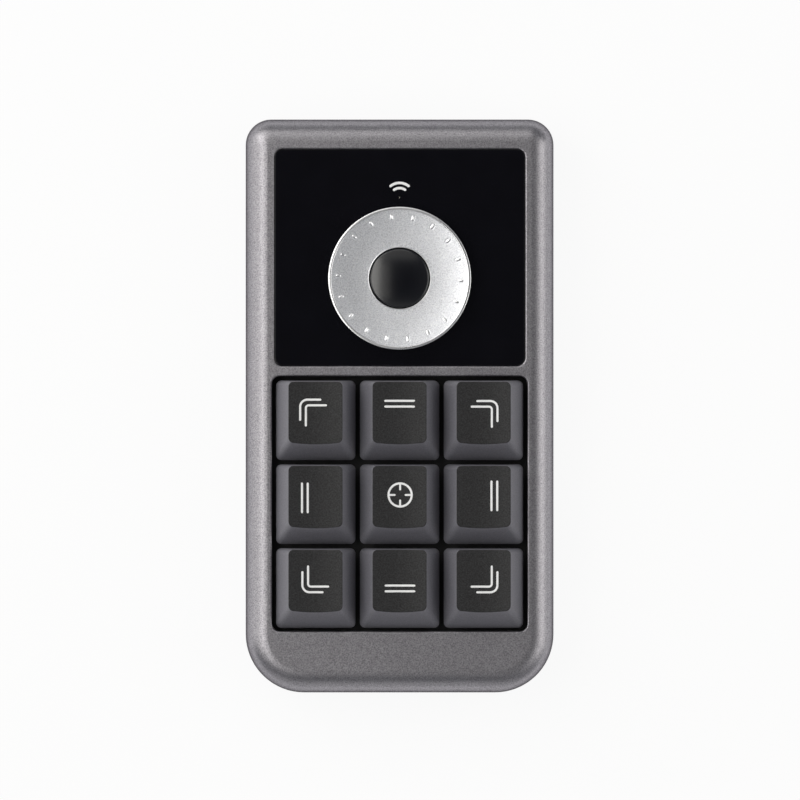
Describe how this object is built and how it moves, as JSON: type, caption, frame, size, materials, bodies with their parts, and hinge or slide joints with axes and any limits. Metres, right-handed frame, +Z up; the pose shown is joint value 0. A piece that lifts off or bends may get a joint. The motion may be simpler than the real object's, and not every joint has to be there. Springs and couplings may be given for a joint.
{
  "type": "macro keypad",
  "caption": "Desk macro keypad: metallic grey housing, square mechanical keys in a sunken well, and a dished silver dial with a black push button on a gloss panel.",
  "frame": {"origin": "on the surface it stands on, under the middle of the housing's outline", "axes": "+X across the keypad to the user's right, +Y from the user to the rear edge with the charging socket, +Z up through the keys and along the dial's axis"},
  "size_m": [0.07, 0.1304, 0.0257],
  "materials": {
    "housing_paint": "fine metallic grey paint, satin",
    "base_shell": "moulded black, fine texture",
    "foot_rubber": "matt",
    "screw_steel": "blackened",
    "gloss_panel": "mirror gloss black",
    "plate_steel": "matt black coat",
    "circuit_board": "solder mask",
    "dial_metal": "fine satin, blasted and turned",
    "inner_plastic": "moulded",
    "button_gloss": "polished black",
    "rotor_plastic": "moulded, ivory",
    "bright_steel": "stamped tin plate",
    "cell_foil": "foil pouch",
    "adhesive_foam": "foam tape",
    "wire_jacket": "soft jacket",
    "connector_plastic": "moulded",
    "ribbon_film": "amber film",
    "slider_plastic": "moulded",
    "lamp_lens": "clear lens",
    "clear_acrylic": "clear, polished",
    "switch_base": "moulded",
    "switch_cover": "smoked moulding",
    "pin_brass": "plain",
    "switch_stem": "moulded, brown",
    "spring_steel": "drawn wire",
    "keycap": "moulded black, fine texture, white printed marks"
  },
  "bodies": {
    "housing": {"top_housing": "housing_paint", "bottom_housing": "base_shell", "rubber_feet": "foot_rubber", "housing_screws": "screw_steel", "gloss_panel": "gloss_panel", "key_plate": "plate_steel", "plate_screws": "screw_steel", "main_board": "circuit_board", "encoder_body": "inner_plastic", "tact_switch_body": "bright_steel", "dial_board": "circuit_board", "board_screws": "screw_steel", "battery": "cell_foil", "battery_pad": "adhesive_foam", "battery_lead": "wire_jacket", "board_connectors": "connector_plastic", "board_ribbon": "ribbon_film", "usb_socket": "bright_steel", "power_switch_body": "bright_steel", "status_led": "lamp_lens", "light_pipe": "clear_acrylic", "radio_module": "bright_steel", "switch_bases": "switch_base", "switch_covers": "switch_cover", "switch_pins": "pin_brass", "switch_spring_r1c1": "spring_steel", "switch_spring_r1c2": "spring_steel", "switch_spring_r1c3": "spring_steel", "switch_spring_r2c1": "spring_steel", "switch_spring_r2c2": "spring_steel", "switch_spring_r2c3": "spring_steel", "switch_spring_r3c1": "spring_steel", "switch_spring_r3c2": "spring_steel", "switch_spring_r3c3": "spring_steel"},
    "dial": {"dial_ring": "dial_metal", "dial_hub": "inner_plastic", "encoder_rotor": "rotor_plastic"},
    "button": {"dial_button": "button_gloss", "tact_switch_plunger": "inner_plastic"},
    "power_slider_body": {"power_slider": "slider_plastic"},
    "key_r1c1": {"keycap_r1c1": "keycap", "switch_stem_r1c1": "switch_stem"},
    "key_r1c2": {"keycap_r1c2": "keycap", "switch_stem_r1c2": "switch_stem"},
    "key_r1c3": {"keycap_r1c3": "keycap", "switch_stem_r1c3": "switch_stem"},
    "key_r2c1": {"keycap_r2c1": "keycap", "switch_stem_r2c1": "switch_stem"},
    "key_r2c2": {"keycap_r2c2": "keycap", "switch_stem_r2c2": "switch_stem"},
    "key_r2c3": {"keycap_r2c3": "keycap", "switch_stem_r2c3": "switch_stem"},
    "key_r3c1": {"keycap_r3c1": "keycap", "switch_stem_r3c1": "switch_stem"},
    "key_r3c2": {"keycap_r3c2": "keycap", "switch_stem_r3c2": "switch_stem"},
    "key_r3c3": {"keycap_r3c3": "keycap", "switch_stem_r3c3": "switch_stem"}
  },
  "joints": [
    {"name": "key_r1c1_press", "type": "slide", "parent": "housing", "child": "key_r1c1", "axis": [0, 0, -1], "range_m": [0, 0.004], "stiffness_N_per_m": 75, "springref_m": -0.004, "deforming": ["switch_spring_r1c1"]},
    {"name": "key_r1c2_press", "type": "slide", "parent": "housing", "child": "key_r1c2", "axis": [0, 0, -1], "range_m": [0, 0.004], "stiffness_N_per_m": 75, "springref_m": -0.004, "deforming": ["switch_spring_r1c2"]},
    {"name": "key_r1c3_press", "type": "slide", "parent": "housing", "child": "key_r1c3", "axis": [0, 0, -1], "range_m": [0, 0.004], "stiffness_N_per_m": 75, "springref_m": -0.004, "deforming": ["switch_spring_r1c3"]},
    {"name": "key_r2c1_press", "type": "slide", "parent": "housing", "child": "key_r2c1", "axis": [0, 0, -1], "range_m": [0, 0.004], "stiffness_N_per_m": 75, "springref_m": -0.004, "deforming": ["switch_spring_r2c1"]},
    {"name": "key_r2c2_press", "type": "slide", "parent": "housing", "child": "key_r2c2", "axis": [0, 0, -1], "range_m": [0, 0.004], "stiffness_N_per_m": 75, "springref_m": -0.004, "deforming": ["switch_spring_r2c2"]},
    {"name": "key_r2c3_press", "type": "slide", "parent": "housing", "child": "key_r2c3", "axis": [0, 0, -1], "range_m": [0, 0.004], "stiffness_N_per_m": 75, "springref_m": -0.004, "deforming": ["switch_spring_r2c3"]},
    {"name": "key_r3c1_press", "type": "slide", "parent": "housing", "child": "key_r3c1", "axis": [0, 0, -1], "range_m": [0, 0.004], "stiffness_N_per_m": 75, "springref_m": -0.004, "deforming": ["switch_spring_r3c1"]},
    {"name": "key_r3c2_press", "type": "slide", "parent": "housing", "child": "key_r3c2", "axis": [0, 0, -1], "range_m": [0, 0.004], "stiffness_N_per_m": 75, "springref_m": -0.004, "deforming": ["switch_spring_r3c2"]},
    {"name": "key_r3c3_press", "type": "slide", "parent": "housing", "child": "key_r3c3", "axis": [0, 0, -1], "range_m": [0, 0.004], "stiffness_N_per_m": 75, "springref_m": -0.004, "deforming": ["switch_spring_r3c3"]},
    {"name": "dial_turn", "type": "hinge", "parent": "housing", "child": "dial", "pos_m": [0, 0.029, 0.021], "axis": [0, 0, 1], "continuous": true},
    {"name": "button_press", "type": "slide", "parent": "housing", "child": "button", "axis": [0, 0, -1], "range_m": [0, 0.0005], "stiffness_N_per_m": 1500, "springref_m": -0.001},
    {"name": "power_slide", "type": "slide", "parent": "housing", "child": "power_slider_body", "axis": [1, 0, 0], "range_m": [0, 0.002]}
  ]
}
